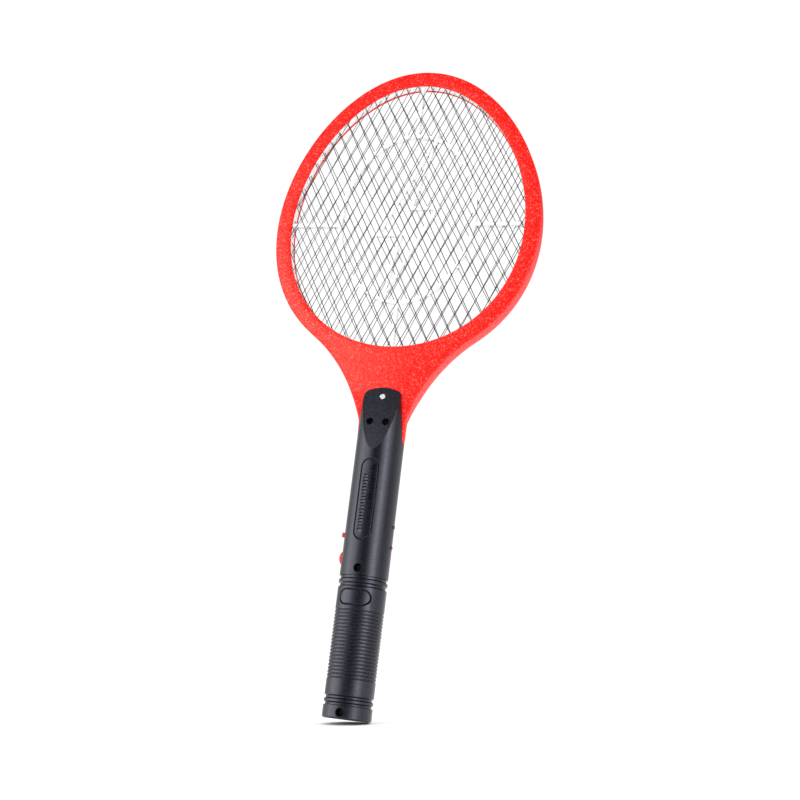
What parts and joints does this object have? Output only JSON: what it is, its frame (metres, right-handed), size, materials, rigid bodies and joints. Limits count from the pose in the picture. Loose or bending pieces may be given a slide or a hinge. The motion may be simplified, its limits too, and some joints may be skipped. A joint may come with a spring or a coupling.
{
  "type": "electric fly swatter",
  "caption": "Battery-powered racket-shaped insect swatter: oval framed mesh head on a round ribbed handle with a push button and a slide switch.",
  "frame": {"origin": "centre of the end cap's flat bottom, on the handle's axis", "axes": "+Z along the handle towards the head, -Y out of the screwed back face, -X out of the push button"},
  "size_m": [0.208, 0.0344, 0.4952],
  "materials": {
    "red_shell": "fine-grained moulded red, semi-gloss",
    "mesh_metal": "thin stamped and zinc plated, dull grey",
    "white_plastic": "satin white moulding",
    "handle_black": "satin charcoal, faint mould grain",
    "screw_steel": "bright zinc",
    "screw_black": "black oxide",
    "button_red": "glossy red",
    "lamp_red": "dark red lens",
    "board_green": "solder-masked fibre board",
    "ferrite": "matt ferrite",
    "copper_winding": "enamelled copper wire",
    "capacitor_brown": "dipped film capacitor",
    "component_black": "moulded epoxy",
    "resistor_tan": "painted ceramic",
    "tray_black": "satin black moulding",
    "battery_wrap": "printed metal jacket with no text",
    "lead_black": "insulated wire",
    "lead_red": "insulated wire"
  },
  "bodies": {
    "grip": {"grip_sleeve": "handle_black", "end_cap": "handle_black", "end_cap_screw": "screw_black"},
    "racket": {"head_back_shell": "red_shell", "head_front_shell": "red_shell", "back_grid": "mesh_metal", "back_spacer": "white_plastic", "centre_grid": "mesh_metal", "front_spacer": "white_plastic", "front_grid": "mesh_metal", "handle_back_shell": "handle_black", "handle_front_shell": "handle_black", "tongue_screw": "screw_steel", "neck_screws": "screw_black", "handle_screw": "screw_black", "button_spring": "screw_steel", "push_switch_body": "component_black", "slide_switch_body": "screw_steel", "indicator_lamps": "lamp_red", "circuit_board": "board_green", "transformer_core": "ferrite", "transformer_winding": "copper_winding", "hv_capacitor": "capacitor_brown", "rectifier_diodes": "component_black", "transistor": "component_black", "resistors": "resistor_tan", "battery_tray": "tray_black", "battery_left": "battery_wrap", "battery_right": "battery_wrap", "battery_springs": "screw_steel", "contact_plates": "screw_steel", "battery_leads": "lead_black", "centre_grid_lead": "lead_red", "outer_grid_lead": "lead_black"},
    "push_button": {"push_button": "button_red"},
    "power_knob": {"slide_knob": "button_red", "slide_switch_lever": "white_plastic"}
  },
  "joints": [
    {"name": "racket_lift", "type": "slide", "parent": "grip", "child": "racket", "axis": [0, 0, 1], "range_m": [0, 0.09]},
    {"name": "button_press", "type": "slide", "parent": "racket", "child": "push_button", "axis": [1, 0, 0], "range_m": [0, 0.0015], "stiffness_N_per_m": 800, "springref_m": -0.001, "deforming": ["button_spring"]},
    {"name": "power_slide", "type": "slide", "parent": "racket", "child": "power_knob", "axis": [0, 0, 1], "range_m": [0, 0.003]}
  ]
}
